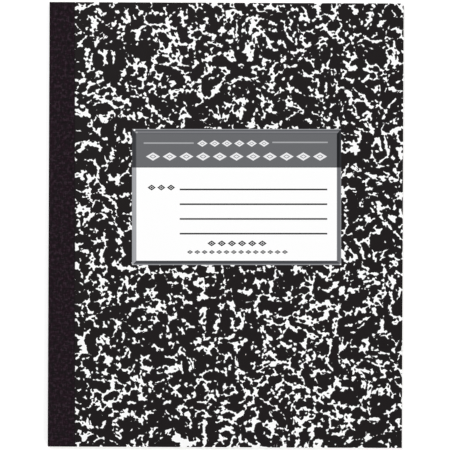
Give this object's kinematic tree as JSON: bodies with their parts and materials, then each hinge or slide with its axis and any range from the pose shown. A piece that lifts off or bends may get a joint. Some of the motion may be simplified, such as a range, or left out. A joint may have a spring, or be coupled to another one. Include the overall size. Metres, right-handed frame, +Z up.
{
  "type": "composition notebook",
  "caption": "Sewn composition notebook with stiff marbled covers, a printed label panel and a cloth tape spine, closed and lying on its back cover.",
  "frame": {"origin": "middle of the closed notebook's footprint, on the surface it lies on", "axes": "+X from the spine to the fore edge, +Y from the tail to the head, +Z up out of the front cover"},
  "size_m": [0.2024, 0.254, 0.0061],
  "materials": {
    "leaves": "uncoated writing paper",
    "thread": "twisted cotton thread",
    "book_cloth": "grained black cloth tape",
    "marbled_paper": "black and white marbled print, light gloss",
    "chipboard": "grey cut board",
    "lining_paper": "plain white uncoated paper"
  },
  "bodies": {
    "pages": {"page_block": "leaves", "outer_thread": "thread", "inner_thread": "thread", "spine_tape": "book_cloth"},
    "front_cover": {"front_lining": "lining_paper", "front_board": "chipboard", "front_cover_paper": "marbled_paper"},
    "back_cover": {"back_lining": "lining_paper", "back_board": "chipboard", "back_cover_paper": "marbled_paper"}
  },
  "joints": [
    {"name": "front_cover_hinge", "type": "hinge", "parent": "pages", "child": "front_cover", "pos_m": [-0.1013, 0, 0.00468], "axis": [0, -1, 0], "range_deg": [0, 179.9], "deforming": ["spine_tape"]},
    {"name": "back_cover_hinge", "type": "hinge", "parent": "pages", "child": "back_cover", "pos_m": [-0.1013, 0, 0.00144], "axis": [0, 1, 0], "range_deg": [0, 179.9], "deforming": ["spine_tape"]}
  ]
}
